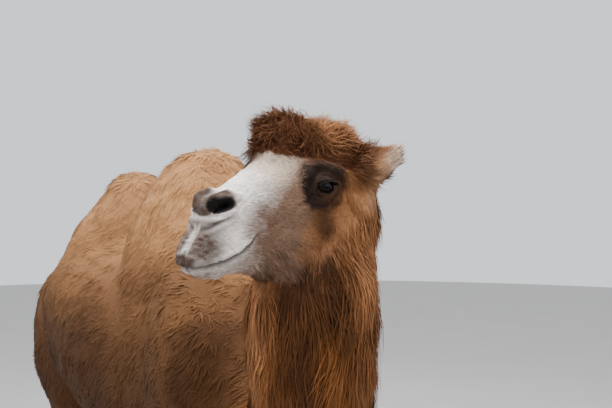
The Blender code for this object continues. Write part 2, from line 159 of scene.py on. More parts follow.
class Regions:
    """Points in the head's and the body's coordinates, and how far each belongs to each part, 0 to 1."""

    def __init__(self, points):
        self.points = points
        self.u, self.v, self.w = u, v, w = in_head(points)
        self.x, self.y, self.z = x, y, z = in_body(points)
        self.side = side = np.abs(v)
        self.over_mouth = w - mouth_height(u)
        near = 1 - ramp(np.sqrt(u * u + v * v + w * w), 0.4, 0.46)
        self.head = ramp(0.665 * (u + 0.235) + 0.747 * (w - 0.034), -0.02, 0.02) * near
        ear = ramp(side + 0.45 * (-u - 0.17), 0.092, 0.112) * ramp(-u, 0.12, 0.15)
        self.ear = ear * ramp(w, 0.0, 0.03) * near
        crown_edge = 0.062 + 0.14 * np.clip(u - 0.01, 0, 0.06) - 0.22 * np.clip(-u - 0.02, 0, 0.2)
        self.above_brow = w - crown_edge
        self.forelock = self.head * (1 - self.ear) * ramp(self.above_brow, -0.008, 0.01)
        self.brow_edge = self.above_brow + 0.0035 * waves(points, 0.03, 16)
        self.muzzle = self.head * ramp(u, 0.1, 0.19)
        self.nape = self.head * ramp(-u - 0.25 * w, 0.02, 0.12) * (1 - self.forelock) * (1 - self.ear)
        self.jaw = self.head * ramp(-w, 0.1, 0.17) * ramp(0.15 - u, 0, 0.1)
        self.socket = self.eye_socket()
        in_front = ramp(-y + 0.1 * (z - 1.2), 0.82, 1.02)
        self.neck = np.maximum(in_front, near) * (1 - self.head) * ramp(z, 0.55, 0.7)
        self.throat = self.neck * ramp(-y, 1.24, 1.34)
        self.tail = ramp(y + 0.08 * ramp(-z, -1.05, -0.9), 0.795, 0.825) * ramp(-np.abs(x), -0.07, -0.055)
        self.leg = 1 - ramp(z, 0.78, 1.02)
        self.shank = 1 - ramp(z, 0.44, 0.6)
        self.foot = 1 - ramp(z, 0.09, 0.13)
        behind_neck = ramp(y, -0.72, -0.6)
        self.hump = ramp(z, 1.52, 1.68) * behind_neck
        self.hump_tip = ramp(z, 1.7, 1.84) * behind_neck

    def eye_socket(self):
        """The dark ring round each eye, softer behind and below it, and a little paler inside."""
        u, w = self.u, self.w
        reach = (np.abs((u + 0.0225) / 0.06) ** 2.5 + np.abs((w + 0.0005) / 0.0555) ** 2.5) ** 0.4
        inner = 1 - ramp(reach, 0.35, 0.85)
        reach = reach + 0.02 * waves(self.points, 0.03, 14)
        soft_edge = ramp(-u - 0.6 * w, 0.0, 0.05)
        ring = self.head * ramp(self.side, 0.03, 0.055) * (1 - ramp(reach, 0.88 - 0.15 * soft_edge, 1.1))
        return ring * (1 - (0.16 + 0.14 * soft_edge) * inner)


def nostril_reach(at, wall=0.008):
    """Squared distance from the nostril's middle, 1 at its edge; wall is its depth towards the other one."""
    u, w, side = at.u - 0.24, at.w + 0.047, at.side - 0.046
    along = u * 0.894 - side * 0.394 - w * 0.215
    across = w + 0.24 * u
    return (along / 0.031) ** 2 + (across / 0.0128) ** 2 + (np.minimum(side + 0.022, 0) / wall) ** 2


def nose_bulb(at):
    """Distance from the middle of the bulb between the nostrils, 1 at about its edge."""
    return np.sqrt(((at.u - 0.262) / 0.034) ** 2 + ((at.w + 0.047) / 0.023) ** 2 + (at.v / 0.038) ** 2)


def from_line(at, start, end):
    """Distance of points from a line drawn on the side of the head, in u and w."""
    along, up = end[0] - start[0], end[1] - start[1]
    share = ((at.u - start[0]) * along + (at.w - start[1]) * up) / (along * along + up * up)
    share = np.clip(share, 0, 1)
    return np.hypot(at.u - start[0] - share * along, at.w - start[1] - share * up)


def nose_crease(at):
    """Distance from the crease that runs from behind the nostril down to the split of the lip."""
    bend = (0.245, -0.082)
    return np.minimum(from_line(at, (0.212, -0.066), bend), from_line(at, bend, (0.276, -0.104)))


def coat_depth(at):
    """How far the skin lies inside the coat's outline, in metres."""
    return mixed(
        0.01,
        (at.hump, 0.012),
        (at.leg, 0.01),
        (at.shank, 0.004),
        (at.foot, 0.002),
        (at.neck, 0.022 - 0.01 * ramp(at.z, 1.25, 1.5)),
        (at.throat * (1 - 0.8 * ramp(at.z, 1.4, 1.54)), 0.03),
        (at.head, 0.004),
        (at.nape, 0.008),
        (at.jaw, 0.01),
        (at.forelock, 0.03),
        (at.ear, 0.004),
        (at.tail, 0.012),
    )


def hair_way(at):
    """The way that the coat lies, before it is laid on the skin."""

    def on_head(*parts):
        return unit(np.stack(np.broadcast_arrays(*parts), 1)) @ HEAD_AXES

    outward = np.sign(at.v)
    sink = 0.25 + 2.0 * np.clip(-at.w - 0.02, 0, 0.12) + 2.2 * at.nape + 0.8 * at.jaw
    steps = [
        (at.hump, (0.0, 0.25, -0.97)),
        (at.leg, (0.0, 0.25, -0.97)),
        (at.neck, (0.0, 0.12, -0.99)),
        (at.tail, (0.0, 0.1, -1.0)),
        (at.head, on_head(-0.9, 0.2 * outward * (1 - at.nape), -sink)),
        (at.forelock, on_head(at.u + 0.05, at.v * 1.3, 0.05)),
        (at.ear, on_head(-0.45, 0.72 * outward, 0.6)),
    ]
    along = np.tile([0.0, 0.72, -0.7], (len(at.points), 1))
    return unit(mixed(along, *[(share[:, None], way) for share, way in steps]))


# ---- markings, with painted light and shade

# Here and in the reliefs, places, widths and heights are metres in the head's or the body's own
# coordinates, and the other numbers are shares, from 0 to 1.


def pale_marks(at, bald, brow, uneven, top):
    """The pale muzzle and bridge, dimmer towards the cheek, jaw and brow, with painted shade below the
    mouth's line, on the lower lip and on the chin.
    """
    u, w = at.u, at.w
    edge = 0.092 + 0.85 * np.clip(-w, -0.02, 0.085) - 0.5 * np.clip(-w - 0.115, 0, 0.04)
    bridge = ramp(0.062 + 0.02 * top - at.side, 0, 0.03) * ramp(u, 0.02, 0.08) * ramp(w, -0.02, 0.02)
    pale = bald * np.maximum(ramp(u - edge + uneven, -0.055, 0.06), 0.72 * bridge)
    cheekbone = hill(w, -0.07, 0.025) * ramp(0.2 - u, 0, 0.05)
    # Painted shade under the upper lip, stronger at the front of the lower lip, and on the chin's underside.
    shade_under_lip = ramp(-at.over_mouth, 0.01, 0.03) * (0.45 + 0.3 * ramp(u, 0.225, 0.25))
    pale = pale * (1 - 0.78 * ramp(0.112 - u, 0.0, 0.06)) * (1 - 0.25 * at.jaw)
    # The band just below the mouth's line is painted shade as well.
    pale = pale * (1 - 0.32 * ramp(-at.over_mouth, 0.0, 0.01)) * (1 - 0.35 * cheekbone) * (1 - shade_under_lip)
    return pale * (1 - 0.72 * brow)


def lip_marks(at, reach):
    """The brown skin over and between the nostrils and on the front of the lips, with painted shadow under
    the nostrils and painted shade just below the mouth's line.
    """
    u, w, side = at.u, at.w, at.side
    flap = 1 - ramp(np.sqrt(nostril_reach(at, 0.024)), 1.15, 2.6)
    flap = flap * ramp(w + 0.05 - 0.1 * (0.26 - u), -0.01, 0.004) * ramp(u, 0.186, 0.21)
    tip = 0.95 * (1 - ramp(nose_bulb(at), 0.75, 1.12))
    patch = 0.96 * full(hill(u, 0.274, 0.042) * hill(w, -0.122, 0.044)) * ramp(side, 0.002, 0.012)
    front = ramp(u, 0.268, 0.292) * ramp(-w, 0.128, 0.15)
    # Painted shadow: a dark band under each nostril's overhang.
    shadow_under_nostril = 0.85 * ramp(u, 0.212, 0.25) * hill(w, -0.08, 0.011)
    lower_rim = 0.36 * hill(reach, 1.35, 0.4) * ramp(-w, 0.048, 0.058)
    # Painted shade: a dark band just below the mouth's line.
    shade_below_mouth_line = 0.55 * ramp(u, 0.128, 0.15) * hill(at.over_mouth, -0.004, 0.0075)
    return at.muzzle * np.clip(largest(flap, tip, patch, front, shadow_under_nostril, lower_rim, shade_below_mouth_line), 0, 1)


def hollow_shade_marks(at, reach):
    """Painted shade, near black, in the nostrils, the mouth's line, the ears' hollows and the nose's
    creases.
    """
    u, w, side = at.u, at.w, at.side
    nostril = at.muzzle * (1 - ramp(reach, 0.96, 1.12)) * ramp(side, 0.008, 0.016)
    slit = at.head * ramp(u, 0.128, 0.15) * hill(at.over_mouth, 0, 0.0035)
    inner_ear = at.ear * ramp(u + 0.17 + 0.35 * (side - 0.12), 0.0, 0.012) * (1 - ramp(side, 0.145, 0.16))
    split = hill(side, 0, 0.0045) * ramp(u, 0.25, 0.262) * ramp(-w, 0.075, 0.09)
    folds = np.maximum(0.75 * hill(nose_crease(at), 0, 0.0036), split)
    return largest(nostril, 0.8 * slit, 0.75 * inner_ear, 0.6 * at.muzzle * folds)


def body_marks(at, cheek_shade):
    """The dark brown beard, painted shade under the jaw, on the cheek and over the lower, front and middle
    body, and painted light on its upper side.
    """
    x, y, z = at.x, at.y, at.z
    facing = ramp(-x, 0.12, 0.2) * ramp(x, -0.325, -0.295)
    # Painted shadow on the jaw's underside and on the neck under the head.
    shadow_under_jaw = 0.9 * at.neck * ramp(z, 1.42, 1.5) * ramp(-y, 1.2, 1.3) * facing
    under = at.jaw * ramp(-at.w, 0.13, 0.17) + shadow_under_jaw
    # Painted shade: the body is darker towards the bottom.
    low = ramp(-z + 0.08 * waves(at.points, 0.5, 13), -1.62, -0.92)
    low = low * (1 - at.shank * 0.7) * (1 - at.neck * 0.6)
    beard = 0.85 * at.neck * hill(x, -0.262, 0.052) * ramp(-y, 1.15, 1.25)
    deep = np.clip(largest(under, 0.85 * low, beard), 0, 1) * (1 - at.head * (1 - at.jaw))
    # Darker hair and painted shade on the chest and shoulder under the head and neck; painted shade in the
    # dip between the humps and on the flank.
    chest = ramp(-x, 0.05, 0.15) * hill(y, -0.52, 0.28) * hill(z, 1.44, 0.1)
    shoulder = 0.9 * hill(y, -0.73, 0.085) * ramp(1.46 - z + 0.03 * waves(at.points, 0.14, 17), 0.0, 0.13)
    flank = 0.68 * hill(y, -0.28, 0.34) * hill(z, 1.16, 0.22) * ramp(np.abs(x), 0.15, 0.25)
    saddle = hill(y, 0.16, 0.13) * hill(z, 1.62, 0.15) * (1 - at.head)
    trunk = largest(0.45 * chest, 0.38 * saddle, shoulder, flank) * (1 - at.neck) * (1 - at.head)
    # Painted light: the body's wool is lighter towards the top, as light from above.
    light = np.clip(ramp(z, 1.3, 1.66), 0, 1) * (1 - at.head) * (1 - at.neck) * (1 - 0.8 * chest)
    return largest(deep, cheek_shade, trunk), light


def markings(at):
    """The coat's markings with their painted light and shade, as rows of three shares for the materials."""
    u, w, side = at.u, at.w, at.side
    uneven = 0.009 * waves(at.points, 0.06, 11) + 0.002 * waves(at.points, 0.02, 12)
    top = ramp(w, 0.05, 0.07)
    reach = np.sqrt(nostril_reach(at))

    tuft = at.head * (1 - at.ear) * ramp(at.brow_edge, -0.01, 0.0)
    bald = at.head * (1 - tuft) * (1 - at.ear)
    brow = bald * ramp(w, -0.035, 0.015) * ramp(0.145 - u, 0.0, 0.06)
    brow = brow * ramp(0.074 + 0.016 * top - side, 0.0, 0.024)
    cheek_edge = 0.03 - 1.1 * np.clip(w + 0.075, 0, 0.09)
    gold = at.head * (1 - at.ear) * (1 - tuft) * ramp(cheek_edge - u + uneven, -0.02, 0.03)
    back = ramp(-u, -0.05, 0.09) * ramp(w, 0.06, 0.12)
    sheen = 0.38 * hill(u, 0.02, 0.05) * ramp(w, 0.105, 0.14)
    tuft = tuft * (1 - 0.85 * back) * (1 - sheen)
    gold = np.maximum(gold, at.head * back)

    cheek_shade = 0.84 * at.head * full(hill(u, -0.03, 0.038) * hill(w, -0.078, 0.042))
    grey = bald * (1 - gold) * ramp(u, -0.1, -0.02)
    grey = np.maximum(grey, at.shank * (0.62 + 0.12 * waves(at.points, 0.16, 15))) * (1 - cheek_shade)
    aside = ramp(at.x, -0.22, -0.12)
    sunny = 0.7 * aside * ramp(at.z, 1.46, 1.6) + 0.8 * ramp(-at.x, 0.295, 0.325) + 0.35 * aside
    gold = largest(gold, at.neck * np.clip(sunny, 0, 0.85), 0.9 * at.ear)

    behind_ear = at.head * ramp(side, 0.118, 0.14) * ramp(-u, 0.12, 0.15) * ramp(w, -0.045, -0.01)
    ear_rim = at.ear * (0.08 + 0.92 * ramp(side + 0.5 * uneven, 0.136, 0.17))
    cream = largest(ear_rim, 0.22 * behind_ear * (1 - at.ear), 0.85 * brow)
    pale = pale_marks(at, bald, brow, uneven, top)
    deep, light = body_marks(at, cheek_shade)
    return {
        "marks_face": np.stack([pale, grey, at.socket], 1),
        "marks_hair": np.stack([tuft, at.neck, cream], 1),
        "marks_body": np.stack([deep, light, hollow_shade_marks(at, reach)], 1),
        "marks_more": np.stack([gold, lip_marks(at, reach), at.head], 1),
    }


# ---- settings


def colour_setting(name, words, default):
    return bpy.props.FloatVectorProperty(
        name=name, description=words, subtype="COLOR", size=3, min=0, max=1, default=default
    )


def length_setting(name, words, default):
    return bpy.props.FloatProperty(
        name=name, description=words, default=default, min=0.001, max=0.3, unit="LENGTH", subtype="DISTANCE"
    )


class CamelCoatSettings(bpy.types.PropertyGroup):
    face_length: length_setting("Face", "Length of the short hair on the face", 0.01)
    cheek_length: length_setting("Cheek", "Length of the shaggy hair on the cheeks", 0.034)
    forelock_length: length_setting("Forelock", "Length of the woolly tuft on the crown", 0.052)
    ear_length: length_setting("Ears", "Length of the hair on the ears", 0.022)
    neck_length: length_setting("Neck", "Length of the hanging hair of the neck", 0.105)
    wool_length: length_setting("Body", "Length of the wool on the trunk", 0.047)
    leg_length: length_setting("Legs", "Length of the hair on the upper legs", 0.03)
    fullness: bpy.props.FloatProperty(
        name="Fullness", description="Share of the full number of locks", default=1.0, min=0.05, max=1.0
    )


class CamelColourSettings(bpy.types.PropertyGroup):
    tan: colour_setting("Tan", "Wool of the trunk and legs", (0.165, 0.074, 0.028))
    light: colour_setting("Light tan", "Wool on the humps", (0.425, 0.205, 0.084))
    russet: colour_setting("Russet", "Hair of the neck", (0.21, 0.074, 0.02))
    gold: colour_setting("Gold", "Hair of the cheeks, nape and ears", (0.355, 0.152, 0.062))
    deep: colour_setting("Dark brown", "Hair under the jaw and low on the body", (0.05, 0.02, 0.008))
    forelock: colour_setting("Forelock", "Tuft on the crown", (0.095, 0.033, 0.015))
    pale: colour_setting("Pale grey", "Short hair of the muzzle and bridge", (0.95, 0.86, 0.8))
    grey: colour_setting("Grey brown", "Hair of the face and shanks", (0.19, 0.11, 0.072))
    lip: colour_setting("Lip", "Brown skin of the nose and the front of the lips", (0.082, 0.052, 0.038))
    ring: colour_setting("Eye ring", "Hair round the eyes", (0.017, 0.009, 0.007))
    cream: colour_setting("Cream", "Hair at the ears' edges and over the brow", (0.74, 0.57, 0.43))
    horn: colour_setting("Horn", "Nails of the feet", (0.026, 0.018, 0.013))


def colour(name):
    return (*getattr(bpy.context.scene.camel_colours, name), 1.0)


# ---- materials


class Value:
    """A node's socket, which takes part in Python expressions as a number that varies over a surface."""

    def __init__(self, finish, socket):
        self.finish = finish
        self.socket = socket

    def maths(self, operation, *terms):
        return self.finish.node("ShaderNodeMath", {"operation": operation}, dict(enumerate(terms)))

    def __add__(self, other):
        return self.maths("ADD", self, other)

    __radd__ = __add__

    def __sub__(self, other):
        return self.maths("SUBTRACT", self, other)

    def __rsub__(self, other):
        return self.maths("SUBTRACT", other, self)

    def __mul__(self, other):
        return self.maths("MULTIPLY", self, other)

    __rmul__ = __mul__

    def __truediv__(self, other):
        return self.maths("DIVIDE", self, other)

    def __pow__(self, other):
        return self.maths("POWER", self, other)

    def clamped(self):
        return self.finish.node("ShaderNodeClamp", {}, {0: self})


class Finish:
    """A material in the making: its nodes, and the shader that they feed."""

    def __init__(self, name, **steady):
        self.material = bpy.data.materials.new(name)
        self.material.use_nodes = True
        self.tree = self.material.node_tree
        self.shader = self.tree.nodes["Principled BSDF"]
        for socket, value in steady.items():
            self.shader.inputs[socket.replace("_", " ")].default_value = value

    def node(self, kind, settings, inputs, output=0):
        """A node with its settings made first, then its sockets' values or links."""
        made = self.tree.nodes.new(kind)
        for setting, value in settings.items():
            setattr(made, setting, value)
        for socket, value in inputs.items():
            if isinstance(value, Value):
                self.tree.links.new(value.socket, made.inputs[socket])
            else:
                made.inputs[socket].default_value = value
        return Value(self, made.outputs[output])

    def mix(self, share, first, second):
        """A colour between two colours, by a share that the node keeps from 0 to 1."""
        return self.node("ShaderNodeMix", {"data_type": "RGBA"}, {0: share, 6: first, 7: second}, 2)

    def dimmed(self, share, tint):
        """A colour made darker or lighter by a varying share."""
        return self.node("ShaderNodeVectorMath", {"operation": "SCALE"}, {0: tint, 3: share})

    def parts(self, vector):
        """The three numbers of a vector."""
        first = self.node("ShaderNodeSeparateXYZ", {}, {0: vector})
        return [Value(self, socket) for socket in first.socket.node.outputs]

    def stored(self, name):
        """The three numbers that the mesh stores under a name."""
        settings = {"attribute_type": "GEOMETRY", "attribute_name": name}
        return self.parts(self.node("ShaderNodeAttribute", settings, {}, 1))

    def place(self):
        """The place on the surface, in the piece's own coordinates."""
        return self.node("ShaderNodeTexCoord", {}, {}, 3)

    def noise(self, place, scale, detail=3.0, roughness=0.55):
        inputs = {"Vector": place, "Scale": scale, "Detail": detail, "Roughness": roughness}
        return self.node("ShaderNodeTexNoise", {}, inputs)

    def streaks(self, place, axes, scales, detail=3.0, roughness=0.55):
        """Noise measured along three axes, each with its own scale."""
        sizes = []
        for axis, scale in zip(axes, scales):
            way = tuple(Vector(axis) * scale)
            inputs = {0: place, 1: way}
            sizes.append(self.node("ShaderNodeVectorMath", {"operation": "DOT_PRODUCT"}, inputs, 1))
        scaled = self.node("ShaderNodeCombineXYZ", {}, dict(enumerate(sizes)))
        return self.noise(scaled, 1.0, detail, roughness)

    def feed(self, socket, value):
        self.tree.links.new(value.socket, self.shader.inputs[socket])

    def bump(self, height, strength, distance):
        inputs = {"Strength": strength, "Distance": distance, "Height": height}
        self.feed("Normal", self.node("ShaderNodeBump", {}, inputs))


def coat_finish(name, skin):
    """The camel's markings with their painted light and shade, on its skin or on its locks of hair."""
    finish = Finish(name, Roughness=0.8, Specular_IOR_Level=0.12)
    pale, grey, ring = finish.stored("marks_face")
    forelock, russet, cream = finish.stored("marks_hair")
    deep, light, hollow_shade = finish.stored("marks_body")
    gold, lip, head = finish.stored("marks_more")
    tone, along, _ = finish.stored("lock")
    place = finish.place()
    patchy = finish.noise(place, 9.0, 4.0)
    mottled = finish.noise(place, 55.0, 4.0, 0.65)
    fine = finish.noise(place, 420.0, 2.0)
    head_streaks = finish.streaks(place, HEAD_AXES, (38.0, 300.0, 300.0), 3.0, 0.65)
    body_streaks = finish.streaks(place, WOOL_AXES, (22.0, 170.0, 170.0), 3.0, 0.65)
    streaks = body_streaks + (head_streaks - body_streaks) * head
    blotch = (patchy - 0.5) * 0.9
    speckle = (mottled - 0.5) * 1.6

    edge = pale + (pale * (1.0 - pale)) * (streaks - 0.5) * 2.0 + (streaks - 0.5) * pale * 0.3
    shade = colour("tan")
    for share, tint in (
        # Painted light: lighter wool towards the top of the body.
        (light + blotch * 0.5, "light"),
        (russet, "russet"),
        (gold * (0.95 + blotch * 0.5), "gold"),
        # Dark brown beard, with painted shade under the jaw, on the cheek, low on the body, on the chest,
        # shoulder and flank, and between the humps.
        (deep + deep * blotch, "deep"),
        (grey * (0.95 + blotch * 0.4), "grey"),
        (forelock * (0.85 + blotch * 0.8), "forelock"),
        (cream * 0.9, "cream"),
        (edge * (0.97 + blotch * 0.2), "pale"),
        # Brown nose and lips, with painted shadow under the nostrils and painted shade below the mouth's
        # line.
        (lip * (1.0 + speckle * 0.2 + (streaks - 0.5) * 0.7), "lip"),
        (ring * (0.93 + blotch * 0.5), "ring"),
    ):
        shade = finish.mix(share, shade, colour(tint))
    # Painted shade: near black in the nostrils, the mouth's line, the ears' hollows and the nose's creases.
    shade = finish.mix(hollow_shade * 0.97, shade, (0.003, 0.002, 0.002, 1))
    shaggy = russet + gold * 0.7 + forelock + grey
    patches = (patchy - 0.5) * 0.4
    if skin:
        level = 0.88 + patches + (streaks - 0.5) * (0.5 + shaggy) + (fine - 0.5) * 0.25
        finish.bump((streaks + fine * 0.5 + mottled * 0.7) * (2.2 - head * 1.2), 0.6, 0.0022)
    else:
        level = 0.86 + (tone - 0.4) * (0.25 + shaggy * 0.7) + along * 0.16 + patches + (fine - 0.5) * 0.35
    finish.feed("Base Color", finish.dimmed(level, shade))
    return finish.material


def shared_material(name, skin=False):
    """The coat's material of that name, made when it is first asked for."""
    return bpy.data.materials.get(name) or coat_finish(name, skin)


# ---- meshes


def linked(name, mesh):
    obj = bpy.data.objects.new(name, mesh)
    bpy.context.scene.collection.objects.link(obj)
    return obj


def smooth_object(name, bm):
    """A linked, smooth-shaded object of a bmesh, which is freed."""
    mesh = bpy.data.meshes.new(name)
    bm.to_mesh(mesh)
    bm.free()
    mesh.shade_smooth()
    return linked(name, mesh)


def dressed(obj, material, slot, *nodes):
    """Gives a piece its material and ties it to the frame."""
    obj.data.materials.clear()
    obj.data.materials.append(material)
    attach(obj, "root")
    if nodes:
        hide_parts(*nodes)


def applied(obj):
    """Makes the object's modifiers part of its mesh."""
    graph = bpy.context.evaluated_depsgraph_get()
    mesh = bpy.data.meshes.new_from_object(obj.evaluated_get(graph))
    obj.modifiers.clear()
    obj.data = mesh


def read_rows(source, name, width, kind=np.float32):
    """The numbers that each element of a collection has under a name, as rows."""
    values = np.empty(len(source) * width, kind)
    source.foreach_get(name, values)
    return values.reshape(-1, width)


def positions(mesh):
    return read_rows(mesh.vertices, "co", 3).astype(float)


def normals(mesh):
    return read_rows(mesh.vertex_normals, "vector", 3).astype(float)


def write_rows(target, name, values, kind=np.float32):
    target.foreach_set(name, values.astype(kind).ravel())


def pushed_out(obj, at, height):
    """Moves the points of an object along its normals."""
    write_rows(obj.data.vertices, "co", at.points + normals(obj.data) * height[:, None])
    obj.data.update()


def store(mesh, marks, lock, repeats=1):
    """Stores on each point the markings with their painted light and shade, and its lock's tone and how far
    it is towards the tip.
    """
    rows = {name: np.repeat(values, repeats, 0) for name, values in marks.items()}
    for name, values in {**rows, "lock": lock}.items():
        write_rows(mesh.attributes.new(name, "FLOAT_VECTOR", "POINT").data, "vector", values)


def smoothed(obj, rounds, group=""):
    modifier = obj.modifiers.new("soften", "SMOOTH")
    modifier.factor = 0.5
    modifier.iterations = rounds
    modifier.vertex_group = group
    applied(obj)


# ---- the skin's shape


def flesh_object():
    """The flesh nodes in one mesh, each swollen a little so that it meets its neighbours."""
    whole = bmesh.new()
    for node in FLESH:
        piece = bmesh.new()
        piece.from_mesh(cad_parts[node].data)
        bmesh.ops.remove_doubles(piece, verts=piece.verts, dist=0.00005)
        piece.normal_update()
        for vert in piece.verts:
            vert.co += vert.normal * SWELLING
        mesh = bpy.data.meshes.new("flesh_part")
        piece.to_mesh(mesh)
        piece.free()
        whole.from_mesh(mesh)
    return smooth_object(SKIN, whole)


def finer_head(obj):
    """Splits the head's faces twice, so that folds and rims can be formed there."""
    bm = bmesh.new()
    bm.from_mesh(obj.data)
    for _ in range(2):
        at = Regions(np.array([vert.co for vert in bm.verts]))
        inside = (at.head > 0.4) | (at.ear > 0.3)
        edges = [edge for edge in bm.edges if all(inside[vert.index] for vert in edge.verts)]
        bmesh.ops.subdivide_edges(bm, edges=edges, cuts=1, use_grid_fill=True, smooth=0.0)
        bm.verts.index_update()
    bmesh.ops.triangulate(bm, faces=[face for face in bm.faces if len(face.verts) > 4])
    bm.to_mesh(obj.data)
    bm.free()


def nose_relief(at):
    """Nostrils with their rims, the bulb between them and the creases below, as heights."""
    u, w, side = at.u, at.w, at.side
    reach = np.sqrt(nostril_reach(at))
    above = ramp(w + 0.047 + 0.24 * (u - 0.24), -0.006, 0.01)
    outward = ramp(side, 0.01, 0.02)
    under_nose = ramp(side, 0.006, 0.014)
    crease = nose_crease(at)
    rim = (0.001 + 0.01 * above) * outward * hill(reach, 1.45, 0.42)
    height = -0.024 * outward * (1 - ramp(reach, 0.55, 1.08))
    height += rim * (1 - 0.7 * ramp(u, 0.252, 0.265))
    height -= 0.003 * above * outward * hill(reach, 2.35, 0.3) * ramp(u, 0.19, 0.22)
    height -= 0.013 * ramp(u, 0.222, 0.245) * hill(w, -0.0655, 0.0095) * ramp(0.058 - side, 0, 0.015)
    height += 0.007 * hill(w, -0.043, 0.013) * ramp(u, 0.222, 0.242) * ramp(0.034 - side, 0, 0.014)
    height -= (0.0075 - 0.0045 * ramp(u, 0.248, 0.262)) * under_nose * hill(crease, 0, 0.0034)
    height += 0.0022 * under_nose * hill(crease, 0.0085, 0.005) * at.muzzle
    return height


def add_lips(height, at):
    """Raises the lips round the mouth's line, split in the middle above it."""
    u, w, side, line = at.u, at.w, at.side, at.over_mouth
    lips = ramp(u, 0.128, 0.16)
    split = ramp(u, 0.245, 0.262) * ramp(-w, 0.09, 0.108) * ramp(w, -0.168, -0.155)
    for rise, centre, width in ((-0.0066, 0, 0.003), (0.003, 0.0095, 0.006), (0.0022, -0.01, 0.006)):
        height += rise * lips * hill(line, centre, width)
    height += 0.0016 * hill(np.hypot(u - 0.13, w + 0.096), 0.014, 0.006) * ramp(0.14 - u, 0, 0.02)
    height -= 0.0065 * hill(side, 0, 0.0042) * split
    height += 0.0045 * hill(side, 0.017, 0.009) * split
    height += 0.0012 * lips * ramp(u, 0.18, 0.25) * waves(at.points, 0.012, 21) * ramp(-w, 0.09, 0.12)
    height += 0.004 * lips * hill(u, 0.262, 0.03) * hill(w, -0.12, 0.02) * ramp(side, 0.012, 0.026)


def add_eye_rims(height, at):
    """Raises the brow and the rims round the eye, and cuts the tear's groove in front of it."""
    across, up = at.u + EYE_BACK, at.w
    eye = np.sqrt(across ** 2 + (up * 1.1) ** 2)
    beside = ramp(at.side, 0.05, 0.075)
    below = ramp(-up, -0.005, 0.02)
    for rise, centre, width, share in (
        (0.006, 0.052, 0.012, ramp(up, -0.01, 0.035)),
        (-0.004, 0.037, 0.008, 0.4 + 0.6 * ramp(up, -0.01, 0.02)),
        (0.0022, 0.042, 0.004, below),
        (-0.0018, 0.05, 0.004, below),
    ):
        height += rise * beside * hill(eye, centre, width) * share
    tear = up + 0.02 + 0.75 * (across - 0.03)
    ahead = ramp(across, 0.022, 0.034)
    height -= 0.0036 * beside * hill(tear, 0, 0.007) * ahead * ramp(0.085 - across, 0, 0.03)


def head_relief(at):
    """Folds, rims and hollows of the head, as heights over the smooth skin."""
    u, w, side = at.u, at.w, at.side
    height = nose_relief(at)
    add_lips(height, at)
    add_eye_rims(height, at)
    for slope, start in ((0.55, 0.0), (0.7, 0.012), (0.62, 0.024)):
        fold = w + 0.02 + start + slope * (u - 0.18)
        height -= 0.0015 * hill(fold, 0, 0.0035) * hill(u, 0.18, 0.035) * ramp(side, 0.015, 0.03)
    crest = w + 0.088 + 0.55 * (u - 0.1)
    height -= 0.002 * hill(crest, 0, 0.006) * hill(u, 0.115, 0.035) * ramp(side, 0.02, 0.04)
    height += 0.001 * waves(at.points, 0.035, 22)
    return height * at.head * (1 - at.forelock)


def from_nails(at):
    """The distance of each point from the middle of each nail in turn."""
    return [np.linalg.norm(at.points - np.array(middle(node)), axis=1) for node in NAILS]


def body_relief(at):
    """Lumps of wool and muscle, folds over the feet and cuticles over the nails, as depths."""
    lumps = 0.003 * waves(at.points, 0.2, 31) + 0.0004 * waves(at.points, 0.06, 32)
    depth = lumps * (1 - at.head) * (1 - at.shank * 0.8)
    beside = ramp(np.abs(at.x), 0.04, 0.12) * (1 - at.neck)
    depth += 0.02 * beside * hill(at.y, 0.4, 0.17) * hill(at.z, 1.69, 0.085)
    depth -= 0.018 * beside * hill(at.y, 0.45, 0.28) * hill(at.z, 1.35, 0.12)
    for height in (0.118, 0.136, 0.156):
        depth += 0.0022 * hill(at.z, height, 0.0055)
    for distance in from_nails(at):
        depth -= 0.0045 * hill(distance, 0.03, 0.012) * ramp(at.z, 0.0, 0.02)
    return depth


def unwrapped(obj):
    """Unwraps the skin's own shape on a new map."""
    obj.data.uv_layers.new(name="OFBake")
    bpy.context.view_layer.objects.active = obj
    obj.select_set(True)
    bpy.ops.object.mode_set(mode="EDIT")
    bpy.ops.mesh.select_all(action="SELECT")
    bpy.ops.uv.smart_project(angle_limit=math.radians(62), island_margin=0.002)
    bpy.ops.object.mode_set(mode="OBJECT")
    obj.select_set(False)


# ---- locks of hair


class Skin:
    """The skin's triangles, and where locks of hair can grow on them."""

    def __init__(self):
        mesh = bpy.data.objects[SKIN].data
        mesh.calc_loop_triangles()
        loops = read_rows(mesh.loop_triangles, "loops", 3, np.int32)
        self.corners = read_rows(mesh.loop_triangles, "vertices", 3, np.int32)
        self.points = positions(mesh)
        self.normals = normals(mesh)
        self.map = read_rows(mesh.uv_layers["OFBake"].data, "uv", 2)[loops]
        first, second, third = (self.points[self.corners[:, i]] for i in range(3))
        self.areas = np.linalg.norm(np.cross(second - first, third - first), axis=1) / 2
        self.at = Regions((first + second + third) / 3)

    def roots(self, weight, count, rng):
        """Random places on the skin, as dense as weight says: points, normals and places on the map."""
        odds = self.areas * np.clip(weight, 0, None)
        chosen = rng.choice(len(odds), count, p=odds / odds.sum())
        first, second = rng.random((2, count))
        over = first + second > 1
        first[over], second[over] = 1 - first[over], 1 - second[over]
        shares = np.stack([1 - first - second, first, second], 1)[:, :, None]
        corners = self.corners[chosen]
        point, normal, place = ((rows * shares).sum(1) for rows in (
            self.points[corners], self.normals[corners], self.map[chosen]
        ))
        return point, unit(normal), place


